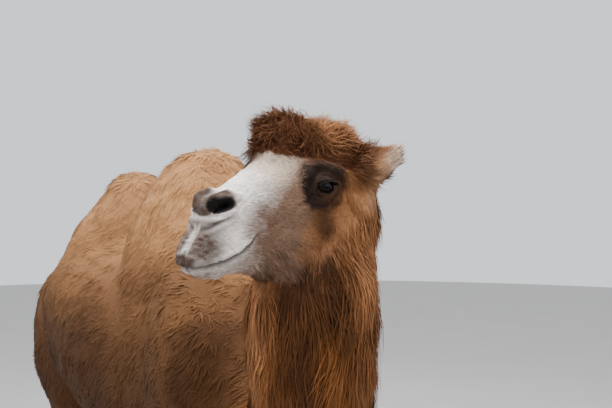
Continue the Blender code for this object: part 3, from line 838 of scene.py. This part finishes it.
def clump_pull(points, size, seed):
    """The way from each point to the middle of the clump of hair that it belongs to."""
    shifted = points + np.stack([waves(points, 0.11, seed + i) for i in range(3)], 1) * size * 0.35
    cell = np.floor(shifted / size)
    # Each cell's number makes a repeatable random offset for its clump.
    jitter = np.sin(cell @ np.array([[12.9, 78.2, 37.7], [39.3, 11.1, 83.1], [73.1, 52.2, 9.2]])) * 43758.5
    jitter = jitter - np.floor(jitter) - 0.5
    return (cell + 0.5 + 0.6 * jitter) * size - shifted


def per_root(size, at):
    """A column of sizes, one to a root, from one number or from a function of the roots' regions."""
    return (size(at) if callable(size) else np.full(len(at.points), size))[:, None]


def lock_faces(rings):
    """The triangles of one lock: its closed root, its sides and its tip."""
    faces = [(0, 2, 1)]
    for first in range(0, rings * 3 - 3, 3):
        for j in range(3):
            a, b = first + j, first + (j + 1) % 3
            faces += [(a, b, b + 3), (a, b + 3, a + 3)]
    last = rings * 3 - 3
    faces += [(last + j, last + (j + 1) % 3, last + 3) for j in range(3)]
    return np.array(faces)


def lock_mesh(name, verts, rings, place):
    """The mesh of locks with these points, each with its small patch round its root's place on the map."""
    count, each = verts.shape[:2]
    faces = lock_faces(rings)
    corners = (faces[None] + (np.arange(count) * each)[:, None, None]).reshape(-1)
    mesh = bpy.data.meshes.new(name)
    mesh.vertices.add(count * each)
    write_rows(mesh.vertices, "co", verts)
    mesh.loops.add(len(corners))
    write_rows(mesh.loops, "vertex_index", corners, np.int32)
    mesh.polygons.add(len(corners) // 3)
    write_rows(mesh.polygons, "loop_start", np.arange(0, len(corners), 3), np.int32)
    mesh.update(calc_edges=True)
    spread = np.array([((i % 3) / 2 - 0.5, (i // 3) / rings - 0.5) for i in range(each - 1)] + [(0.0, 0.5)])
    patch = place[:, None, :] + spread[faces.ravel()][None] * LOCK_PATCH
    write_rows(mesh.uv_layers.new(name="OFBake").data, "uv", patch)
    return mesh


def grow_locks(name, slot, skin, weight, count, seed, length, width, lift, clump, droop=0.0, curl=0.12,
               rings=2, stray=0.2, rounding=0.45):
    """A piece of coat: tapered three-sided locks that lie along the skin, root to tip.

    weight says how dense the count of locks is over the skin. length and width, in metres, and lift,
    in degrees, are a number or a function of the roots' regions. lift is how steeply a lock leaves the
    skin, clump the size and strength of the clumps that the tips gather in, droop the pull of their
    weight, curl their waviness, rings a lock's three-sided rings, 2 or 3, stray how unevenly the locks
    lie, and rounding how far the shading follows a lock's own sides and not the skin below."""
    rng = np.random.default_rng(seed)
    count = int(count * bpy.context.scene.camel_coat.fullness)
    root, normal, place = skin.roots(weight, count, rng)
    at = Regions(root)
    uneven = 1 + 0.22 * waves(root, 0.07, seed)[:, None] + 0.16 * rng.normal(size=(count, 1))
    size = per_root(length, at) * np.clip(uneven, 0.45, 1.6)
    wide = per_root(width, at) * rng.uniform(0.7, 1.3, (count, 1))
    way = hair_way(at) + stray * rng.normal(size=(count, 3))
    way += 0.2 * np.stack([waves(root, 0.1, seed + 50 + i) for i in range(3)], 1)
    way = unit(way - normal * (way * normal).sum(1, keepdims=True))
    side = np.cross(normal, way)
    steepness = 0.45 + np.minimum(rng.exponential(0.5, (count, 1)), 1.6)
    angle = np.radians(per_root(lift, at) * steepness)
    pull = clump_pull(root, clump[0], seed)
    pull = (pull - normal * (pull * normal).sum(1, keepdims=True)) * clump[1]
    turn = rng.uniform(0, 2 * math.pi, (count, 1))

    centre = root - normal * np.minimum(size * 0.04, 0.0015)
    down = np.array([0.0, 0.0, -1.0])
    tapers = (0.62, 1.0, 0.85) if rings > 2 else (0.85, 0.8)
    verts = []
    heading = unit(way * np.cos(angle) + normal * np.sin(angle))
    for ring in range(rings):
        thick = wide * tapers[ring]
        flat = unit(np.cross(heading, normal))
        rise = np.cross(flat, heading)
        verts += [centre - flat * thick / 2, centre + flat * thick / 2, centre - rise * thick * 0.3]
        ahead = ring / rings + 1 / rings
        wave = np.sin(turn + 5.0 * ahead) * curl
        wander = np.cos(turn * 1.7 + 4.0 * ahead) * curl
        heading = way * np.cos(angle * (1 - ahead)) + normal * np.sin(angle * (1 - ahead))
        heading = heading + side * wave + normal * wander * 0.6 + down * droop * ahead
        inward = (heading * normal).sum(1, keepdims=True)
        heading = unit(heading + normal * np.clip(0.04 - inward, 0, None))
        centre = centre + heading * (size / rings) + pull / rings * ahead
    verts.append(centre)
    verts = np.stack(verts, 1)
    thirds = np.repeat(verts[:, :-1].reshape(count, rings, 3, 3).mean(2), 3, axis=1)
    middles = np.concatenate([thirds, (centre - heading * 0.01)[:, None]], 1)

    each = rings * 3 + 1
    mesh = lock_mesh(name, verts, rings, place)
    tone = np.clip(0.5 + 0.28 * rng.normal(size=count) + 0.12 * waves(root, 0.03, seed + 9), 0, 1.2)
    along = np.array([(i // 3) / rings for i in range(each)])
    lock = np.stack([np.repeat(tone, each), np.tile(along, count), np.zeros(count * each)], 1)
    store(mesh, markings(at), lock, each)
    mesh.shade_smooth()
    soft = unit(normal[:, None, :] + rounding * unit(verts - middles))
    mesh.normals_split_custom_set_from_vertices(soft.reshape(-1, 3))
    dressed(linked(name, mesh), shared_material("camel_hair"), slot)


# ---- operators


class Maker:
    """What the operators share: Blender can undo each."""

    bl_options = {"REGISTER", "UNDO"}


class CAMEL_OT_skin(Maker, bpy.types.Operator):
    """Build one skin over all the flesh, set in by the coat's depth, with the head's folds and rims"""

    bl_idname = "camel.skin"
    bl_label = "Skin"

    def execute(self, context):
        obj = flesh_object()
        remesh = obj.modifiers.new("remesh", "REMESH")
        remesh.mode = "VOXEL"
        remesh.voxel_size = SKIN_CELL
        applied(obj)
        smoothed(obj, 8)
        at = Regions(positions(obj.data))
        pushed_out(obj, at, SWELLING - coat_depth(at) - body_relief(at))
        smoothed(obj, 5)
        finer_head(obj)
        at = Regions(positions(obj.data))
        group = obj.vertex_groups.new(name="head")
        group.add(np.nonzero(at.head + at.ear > 0.3)[0].tolist(), 1.0, "REPLACE")
        smoothed(obj, 6, "head")
        at = Regions(positions(obj.data))
        pushed_out(obj, at, head_relief(at))
        store(obj.data, markings(at), np.tile([0.5, 0.0, 0.0], (len(at.points), 1)))
        obj.vertex_groups.clear()
        unwrapped(obj)
        obj.data.shade_smooth()
        dressed(obj, shared_material("camel_hide", True), "coat_tan", *FLESH)
        return {"FINISHED"}


class CAMEL_OT_face_coat(Maker, bpy.types.Operator):
    """Grow the short flat hair of the face and the shaggy hair of the cheeks"""

    bl_idname = "camel.face_coat"
    bl_label = "Face and cheeks"

    def execute(self, context):
        coat, skin = context.scene.camel_coat, Skin()
        at = skin.at
        eye = np.hypot(at.u + EYE_BACK, at.w)
        beside = at.side > 0.05
        nose = np.minimum(ramp(np.sqrt(nostril_reach(at, 0.024)), 1.5, 2.2), ramp(nose_bulb(at), 1.15, 1.4))
        face = at.head * (1 - at.forelock) * (1 - at.nape) * nose * (1 - 0.6 * at.muzzle)
        face = face * (1 - hill(at.over_mouth, 0, 0.005) * ramp(at.u, 0.12, 0.14))
        face = face * np.where(beside, ramp(eye, 0.024, 0.03), 1)
        cheek = at.head * (1 - at.forelock) * (ramp(-at.u, -0.02, 0.08) + at.jaw * 0.8) * (1 - at.ear)
        cheek = cheek * np.where(beside, ramp(eye, 0.045, 0.06), 1)

        def face_length(at):
            behind = (ramp(-at.u, -0.05, 0.03), 1.4)
            return coat.face_length * mixed(1.0, (at.muzzle, 0.5), (at.jaw, 1.8), behind)

        def cheek_length(at):
            return coat.cheek_length * mixed(0.35, (ramp(-at.u, 0.0, 0.14), 1.0), (at.jaw, 1.25))

        grow_locks("coat_face", "coat_pale", skin, face, 15500, 101, face_length,
                   width=lambda at: mixed(0.0014, (at.muzzle, 0.0008)),
                   lift=10, clump=(0.012, 0.25), stray=0.16)
        grow_locks("coat_cheeks", "coat_russet", skin, cheek, 17500, 102, cheek_length,
                   width=0.002, lift=lambda at: mixed(9, (at.jaw, 17)),
                   clump=(0.016, 0.3), droop=0.45, curl=0.16, stray=0.16)
        return {"FINISHED"}


class CAMEL_OT_forelock(Maker, bpy.types.Operator):
    """Grow the woolly tuft on the crown"""

    bl_idname = "camel.forelock"
    bl_label = "Forelock"

    def execute(self, context):
        coat, skin = context.scene.camel_coat, Skin()
        tuft = skin.at.forelock * ramp(skin.at.brow_edge, 0.0, 0.008)

        def length(at):
            low = 0.4 + 0.4 * ramp(-at.v, -0.01, 0.03)
            return coat.forelock_length * mixed(low, (ramp(at.above_brow, 0.004, 0.045), 1.05))

        grow_locks("coat_forelock", "coat_dark", skin, tuft, 11500, 111, length, width=0.0022,
                   lift=40, clump=(0.02, 0.7), droop=0.15, curl=0.65, rings=3, stray=0.32)
        return {"FINISHED"}


class CAMEL_OT_ear_coat(Maker, bpy.types.Operator):
    """Grow the hair on the ears"""

    bl_idname = "camel.ear_coat"
    bl_label = "Ear hair"

    def execute(self, context):
        coat, skin = context.scene.camel_coat, Skin()
        ears = skin.at.ear * (1 - ramp(skin.at.side, 0.168, 0.174))

        def length(at):
            return coat.ear_length * mixed(0.9, (ramp(at.side, 0.14, 0.168), 1.5))

        grow_locks("coat_ears", "coat_pale", skin, ears, 3600, 121, length, width=0.0019,
                   lift=11, clump=(0.014, 0.4))
        return {"FINISHED"}


class CAMEL_OT_neck_coat(Maker, bpy.types.Operator):
    """Grow the long hanging hair of the neck"""

    bl_idname = "camel.neck_coat"
    bl_label = "Neck"

    def execute(self, context):
        coat, skin = context.scene.camel_coat, Skin()
        high = ramp(skin.at.z, 1.22, 1.3)

        def length(at):
            low = (ramp(-at.z, -1.05, -0.9), 1.1)
            near_head = (ramp(at.z, 1.46, 1.58), 0.6)
            return coat.neck_length * mixed(0.8, (at.throat, 1.15), low, near_head)

        def lift(at):
            return mixed(10.0, (at.throat * ramp(at.z, 1.38, 1.46), 30.0))

        for name, share, count, seed in (("upper", high, 17500, 131), ("lower", 1 - high, 15500, 132)):
            grow_locks("coat_neck_" + name, "coat_russet", skin, skin.at.neck * share, count, seed, length,
                       width=0.0029, lift=lift, clump=(0.035, 0.45), droop=0.3, curl=0.14, stray=0.12)
        return {"FINISHED"}


class CAMEL_OT_body_coat(Maker, bpy.types.Operator):
    """Grow the wool of the trunk and humps"""

    bl_idname = "camel.body_coat"
    bl_label = "Trunk and humps"

    def execute(self, context):
        coat, skin = context.scene.camel_coat, Skin()
        at = skin.at
        body = (1 - at.head) * (1 - at.neck) * (1 - at.leg) * (1 - at.tail) * (1 - at.ear)
        trunk = body * (1 - at.hump) * mixed(1.0, (ramp(-at.z, -0.98, -0.84), 0.6))

        def length(at):
            belly = (ramp(-at.z, -1.0, -0.85), 0.8)
            return coat.wool_length * mixed(1.0, (at.hump, 0.85), (at.hump_tip, 1.1), belly)

        for name, weight, count, seed in (
            ("humps", body * at.hump, 14000, 141),
            ("trunk_left", trunk * (at.x > 0), 15500, 142),
            ("trunk_right", trunk * (at.x <= 0), 15500, 143),
        ):
            grow_locks("coat_" + name, "coat_tan", skin, weight, count, seed, length,
                       width=lambda at: mixed(0.0052, (at.hump, 0.0044)),
                       lift=8, clump=(0.03, 0.35), droop=0.05, stray=0.24, rounding=0.25)
        return {"FINISHED"}


class CAMEL_OT_leg_coat(Maker, bpy.types.Operator):
    """Grow the hair of the legs and tail"""

    bl_idname = "camel.leg_coat"
    bl_label = "Legs and tail"

    def execute(self, context):
        coat, skin = context.scene.camel_coat, Skin()
        at = skin.at
        legs = at.leg * (1 - at.neck) * (1 - at.tail) * mixed(1.0, (at.shank, 2.2), (at.foot, 2.6))
        legs = legs * ramp(at.z, 0.014, 0.03)
        for distance in from_nails(at):
            legs = legs * ramp(distance, 0.03, 0.036)

        def leg_length(at):
            fringe = hill(at.z, 0.135, 0.035) + hill(at.z, 0.5, 0.05)
            return coat.leg_length * (mixed(1.15, (at.shank, 0.6), (at.foot, 0.4)) + 0.35 * fringe)

        grow_locks("coat_legs", "coat_tan", skin, legs, 13000, 151, leg_length,
                   width=lambda at: mixed(0.0045, (at.shank, 0.0026)),
                   lift=lambda at: mixed(14, (at.shank, 19)), clump=(0.022, 0.4), droop=0.2, curl=0.2)
        grow_locks("coat_tail", "coat_tan", skin, at.tail, 2400, 152,
                   length=lambda at: 0.035 + 0.055 * ramp(-at.z, -0.95, -0.75), width=0.0035,
                   lift=12, clump=(0.02, 0.4), droop=0.6, curl=0.15, rings=3, stray=0.12)
        return {"FINISHED"}


def eye_axes(side):
    """Matrix of an eye: its own x looks out, y runs back along the lids and z is up."""
    out = (HEAD_LEFT * side * 0.93 + HEAD_AHEAD * 0.36).normalized()
    up = (HEAD_UP - out * HEAD_UP.dot(out)).normalized()
    back = up.cross(out)
    turned = Matrix((out, back, up)).transposed().to_4x4()
    return Matrix.Translation(EYES[side]) @ turned


def oval(y, z, half_width, half_height):
    """Distance from the middle of an oval on the eye, 1 at its edge."""
    return ((y / half_width) ** 2 + (z / half_height) ** 2) ** 0.5


def eye_finish():
    """A dark brown iris with a wide slot of a pupil under a wet cornea, and a painted bluish reflection of
    the sky on its upper half.
    """
    wet = dict(Roughness=0.12, Specular_IOR_Level=0.04, Coat_Weight=0.14, Coat_Roughness=0.02)
    finish = Finish("camel_eye", **wet)
    _, y, z = finish.parts(finish.place())
    ring = oval(y, z, 0.0125, 0.012)
    slot = oval(y, z, 0.0068, 0.0034)
    fibres = finish.noise(finish.place(), 260.0, 4.0)
    iris = finish.mix(fibres, (0.003, 0.0015, 0.001, 1), (0.014, 0.006, 0.003, 1))
    white = finish.mix(fibres - 0.2, (0.016, 0.01, 0.008, 1), (0.007, 0.004, 0.004, 1))
    shade = finish.mix((ring - 0.93) * 14, iris, white)
    shade = finish.mix((1.0 - slot) * 9, shade, (0.0012, 0.001, 0.0012, 1))
    # Painted reflection: the upper half of the iris is coloured bluish, as the sky reflected in the cornea.
    painted_sky_reflection = ((z - 0.0008) * 300.0).clamped() * ((0.0105 - ring * 0.0125) * 300.0).clamped()
    finish.feed("Base Color", finish.mix(painted_sky_reflection * 0.8, shade, (0.045, 0.052, 0.066, 1)))
    return finish.material


class CAMEL_OT_eyes(Maker, bpy.types.Operator):
    """Build the eyes, with a raised cornea over each iris"""

    bl_idname = "camel.eyes"
    bl_label = "Eyes"

    def execute(self, context):
        material = eye_finish()
        cornea_reach, cornea_rise = 0.0145, 0.0016
        for side, word in SIDES:
            bm = bmesh.new()
            bmesh.ops.create_uvsphere(bm, u_segments=64, v_segments=48, radius=EYE_RADIUS)
            bmesh.ops.rotate(bm, verts=bm.verts, matrix=Matrix.Rotation(math.pi / 2, 3, "Y"))
            for vert in bm.verts:
                rim = math.hypot(vert.co.y, vert.co.z) / cornea_reach
                if vert.co.x > 0:
                    vert.co.x += cornea_rise * math.exp(-rim ** 4)
            obj = smooth_object("camel_eye_" + word, bm)
            obj.matrix_world = eye_axes(side)
            dressed(obj, material, "eye_gloss", "eye_" + word)
        return {"FINISHED"}


def lid_edge(angle):
    """Opening of the lids at an angle round the eye, as y and z on the eye: an almond, fuller above."""
    along, high = math.cos(angle), math.sin(angle)
    rise = (0.0118 if high > 0 else 0.01) * abs(high) ** 1.15
    return 0.019 * along, math.copysign(rise, high) + 0.0012 * along


def bridged(bm, rings):
    """Joins rings that have as many points each with faces."""
    for first, second in zip(rings[:-1], rings[1:]):
        for i in range(len(first)):
            j = (i + 1) % len(first)
            bm.faces.new((first[i], first[j], second[j], second[i]))


def lid_mesh():
    """A ring of lid from its wet edge out to where it sinks in the skin, thicker above."""
    steps = 72
    # Each row is how far it is spread from the opening and its lift over the eye in millimetres.
    rows = [
        (1.0, -0.6), (1.0, 1.2), (1.05, 2.1), (1.14, 2.7), (1.22, 2.0), (1.31, 3.0), (1.44, 3.3),
        (1.53, 2.3), (1.63, 3.0), (1.78, 1.9), (1.95, 1.6), (2.2, 1.5), (2.5, 1.3), (2.9, 1.0),
    ]
    bm = bmesh.new()
    rings = []
    for spread, lift in rows:
        ring = []
        for i in range(steps):
            angle = 2 * math.pi * i / steps
            y, z = lid_edge(angle)
            upper = max(math.sin(angle), 0.0)
            reach = math.hypot(y, z)
            radius = EYE_RADIUS + LID_GAP + (lift + 1.1 * upper * (spread > 1.0)) * 0.001
            wanted = min(reach + (spread - 1.0) * LID_SPREAD, 0.97 * radius)
            y, z = y * wanted / reach, z * wanted / reach
            depth = math.sqrt(max(radius ** 2 - y * y - z * z, 0.00002))
            ring.append(bm.verts.new((depth, y, z)))
        rings.append(ring)
    bridged(bm, rings)
    bmesh.ops.recalc_face_normals(bm, faces=bm.faces)
    return bm


def lid_finish():
    """Creased dark lids, with painted shade darkening their upper part, and a black wet margin."""
    finish = Finish("camel_lid", Roughness=0.7, Specular_IOR_Level=0.08)
    grain = finish.noise(finish.place(), 320.0, 4.0)
    _, y, z = finish.parts(finish.place())
    creases = finish.streaks(finish.place(), Matrix.Identity(3), (60.0, 70.0, 420.0))
    folds = finish.mix(grain, (0.02, 0.011, 0.008, 1), (0.062, 0.037, 0.028, 1))
    # Painted shade: the lid skin darkens towards the top, as shade under the brow, and lightens towards the
    # back.
    folds = finish.dimmed((0.45 - z * 16.0 + y * 18.0).clamped() * 1.1 + creases * 0.9 + 0.15, folds)
    margin = (oval(y, z, 0.0215, 0.014) - 1.0) * 6.0
    finish.feed("Base Color", finish.mix(margin, (0.004, 0.003, 0.003, 1), folds))
    finish.bump(grain * 0.3 + creases, 0.8, 0.0016)
    return finish.material


def lash_finish():
    """Dark brown hair."""
    finish = Finish("camel_lash", Roughness=0.35)
    fibre = finish.noise(finish.place(), 90.0)
    finish.feed("Base Color", finish.mix(fibre, (0.009, 0.005, 0.004, 1), (0.036, 0.02, 0.012, 1)))
    return finish.material


def add_lash(bm, points, thick):
    """Adds one tapered three-sided lash through the points."""
    ahead = (points[1] - points[0]).normalized()
    flat = ahead.cross(HEAD_UP).normalized()
    rise = flat.cross(ahead)
    ways = (flat, -flat * 0.5 + rise * 0.87, -flat * 0.5 - rise * 0.87)
    rings = []
    for point, taper in zip(points, (1.0, 0.85, 0.55)):
        rings.append([bm.verts.new(point + way * (thick * taper)) for way in ways])
    tip = bm.verts.new(points[-1])
    bm.faces.new(reversed(rings[0]))
    bridged(bm, rings)
    for j in range(3):
        bm.faces.new((rings[-1][j], rings[-1][(j + 1) % 3], tip))


def lash_mesh(side):
    """The lashes of one eye: 100 long ones above and 50 short ones below."""
    rng = np.random.default_rng(170 + side)
    bm = bmesh.new()
    axes = eye_axes(side)
    for i in range(150):
        upper = i < 100
        angle = rng.uniform(0.1, 0.92) * math.pi * (1 if upper else -1)
        y, z = lid_edge(angle)
        length = rng.uniform(0.02, 0.03) if upper else rng.uniform(0.009, 0.014)
        start = Vector((math.sqrt((EYE_RADIUS + LASH_ROOT) ** 2 - y * y - z * z), y * 1.05, z * 1.1))
        lean = 0.28 * y / 0.018 + rng.normal() * 0.14
        points = []
        for share in (0.0, 0.35, 0.7, 1.0):
            drop = -0.3 * share + 0.45 * share ** 2 if upper else -0.5 * share
            points.append(axes @ (start + Vector((share * 0.85, lean * share, drop)) * length))
        add_lash(bm, points, 0.00075 if upper else 0.0005)
    return bm


class CAMEL_OT_lids(Maker, bpy.types.Operator):
    """Build the lids and the long lashes round each eye"""

    bl_idname = "camel.lids"
    bl_label = "Lids and lashes"

    def execute(self, context):
        lid, lash = lid_finish(), lash_finish()
        for side, word in SIDES:
            lids = smooth_object("camel_lids_" + word, lid_mesh())
            lids.matrix_world = eye_axes(side)
            dressed(lids, lid, "eye_gloss")
            dressed(smooth_object("camel_lashes_" + word, lash_mesh(side)), lash, "coat_dark")
        return {"FINISHED"}


def nail_finish():
    """Dark horn with bands of growth."""
    finish = Finish("camel_nail", Roughness=0.42)
    place = finish.place()
    grain = finish.noise(place, 60.0, 5.0)
    bands = {"Vector": place, "Scale": 85.0, "Distortion": 2.5, "Detail": 2.0}
    growth = finish.node("ShaderNodeTexWave", {"bands_direction": "Y"}, bands)
    light = finish.mix(grain, colour("horn"), (0.066, 0.046, 0.033, 1))
    finish.feed("Base Color", finish.mix(growth * 0.35, light, (0.02, 0.015, 0.012, 1)))
    finish.bump(growth * 0.5 + grain, 0.4, 0.0006)
    return finish.material


class CAMEL_OT_nails(Maker, bpy.types.Operator):
    """Build the nails of the toes"""

    bl_idname = "camel.nails"
    bl_label = "Nails"

    def execute(self, context):
        material = nail_finish()
        for node in NAILS:
            low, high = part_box(node)
            half = (high - low) / 2
            bm = bmesh.new()
            bmesh.ops.create_uvsphere(bm, u_segments=28, v_segments=18, radius=1.0)
            for vert in bm.verts:
                # A ball with fuller sides, which narrows, thins and bends down ahead.
                x, y, z = (math.copysign(abs(number) ** 0.8, number) for number in vert.co)
                ahead = (1 - y) / 2
                x *= 1 - 0.28 * ahead
                z = z * (1 - 0.42 * ahead) if z > 0 else z * 0.6
                z -= 0.4 * ahead ** 2
                y *= 1.0 if y < 0 else 1.5
                vert.co = Vector((x * half.x * 0.88, y * half.y, z * half.z * 0.95))
            bm.transform(Matrix.Translation((low + high) / 2))
            dressed(smooth_object("camel_" + node, bm), material, "nail_horn", node)
        return {"FINISHED"}


# ---- stage


def add_floor():
    """A pale round floor."""
    finish = Finish("studio_paper", Roughness=0.9)
    grain = finish.noise(finish.place(), 2.0, 4.0)
    finish.feed("Base Color", finish.mix(grain, (0.44, 0.43, 0.42, 1), (0.5, 0.49, 0.475, 1)))
    bm = bmesh.new()
    bmesh.ops.create_circle(bm, cap_ends=True, segments=192, radius=14.0)
    obj = smooth_object("studio_floor", bm)
    obj.data.materials.append(finish.material)
    obj.location.z = -0.001


def add_lights():
    """A bright sky all round, and three soft lights: above, ahead and behind."""
    world = bpy.data.worlds.new("studio_air")
    world.use_nodes = True
    air = world.node_tree.nodes["Background"].inputs
    air["Color"].default_value = (0.93, 0.96, 1.0, 1)
    air["Strength"].default_value = 1.15
    bpy.context.scene.world = world
    for name, place, aim, size, power in (
        ("sky_soft", (-0.8, -0.6, 5.2), (0.0, 0.0, 1.0), 4.5, 400.0),
        ("front_soft", (-3.4, -3.2, 4.2), (-0.1, -0.9, 1.4), 0.7, 45.0),
        ("rear_soft", (2.6, 3.4, 3.6), (0.0, 0.2, 1.2), 3.0, 60.0),
    ):
        data = bpy.data.lights.new(name, "AREA")
        data.size = size
        data.energy = power
        obj = linked(name, data)
        obj.location = place
        obj.rotation_euler = (Vector(aim) - Vector(place)).to_track_quat("-Z", "Y").to_euler()


def add_camera():
    """Level with the eyes, ahead of the camel's right shoulder."""
    height, distance, aside = 1.72, 1.885, 0.055
    data = bpy.data.cameras.new("camera")
    data.lens = 50.0
    data.sensor_width = 36.0
    data.shift_y = -0.018
    obj = linked("camera", data)
    ahead = Vector((0.53, 0.848, 0.0)).normalized()
    right = ahead.cross(Vector((0, 0, 1)))
    obj.location = Vector((HEAD_MIDDLE.x, HEAD_MIDDLE.y, height)) - ahead * distance + right * aside
    obj.rotation_euler = ahead.to_track_quat("-Z", "Y").to_euler()
    bpy.context.scene.camera = obj


class CAMEL_OT_stage(Maker, bpy.types.Operator):
    """Set the floor, sky, lights and camera"""

    bl_idname = "camel.stage"
    bl_label = "Stage"

    def execute(self, context):
        add_floor()
        add_lights()
        add_camera()
        return {"FINISHED"}


OPERATORS = (
    CAMEL_OT_skin, CAMEL_OT_face_coat, CAMEL_OT_forelock, CAMEL_OT_ear_coat, CAMEL_OT_neck_coat,
    CAMEL_OT_body_coat, CAMEL_OT_leg_coat, CAMEL_OT_eyes, CAMEL_OT_lids, CAMEL_OT_nails, CAMEL_OT_stage,
)


class CAMEL_PT_pieces(bpy.types.Panel):
    """The camel's pieces and its stage"""

    bl_label = "Bactrian Camel"
    bl_idname = "CAMEL_PT_pieces"
    bl_space_type = "VIEW_3D"
    bl_region_type = "UI"
    bl_category = "Camel"

    def draw(self, context):
        for operator in OPERATORS:
            self.layout.operator(operator.bl_idname)
        for group in (context.scene.camel_coat, context.scene.camel_colours):
            for name in group.__annotations__:
                self.layout.prop(group, name)


CLASSES = (CamelCoatSettings, CamelColourSettings, *OPERATORS, CAMEL_PT_pieces)


def register():
    for cls in CLASSES:
        bpy.utils.register_class(cls)
    bpy.types.Scene.camel_coat = bpy.props.PointerProperty(type=CamelCoatSettings)
    bpy.types.Scene.camel_colours = bpy.props.PointerProperty(type=CamelColourSettings)


def unregister():
    del bpy.types.Scene.camel_coat
    del bpy.types.Scene.camel_colours
    for cls in reversed(CLASSES):
        bpy.utils.unregister_class(cls)


def main():
    register()
    for operator in OPERATORS:
        group, name = operator.bl_idname.split(".")
        getattr(getattr(bpy.ops, group), name)()


if __name__ == "__main__":
    main()
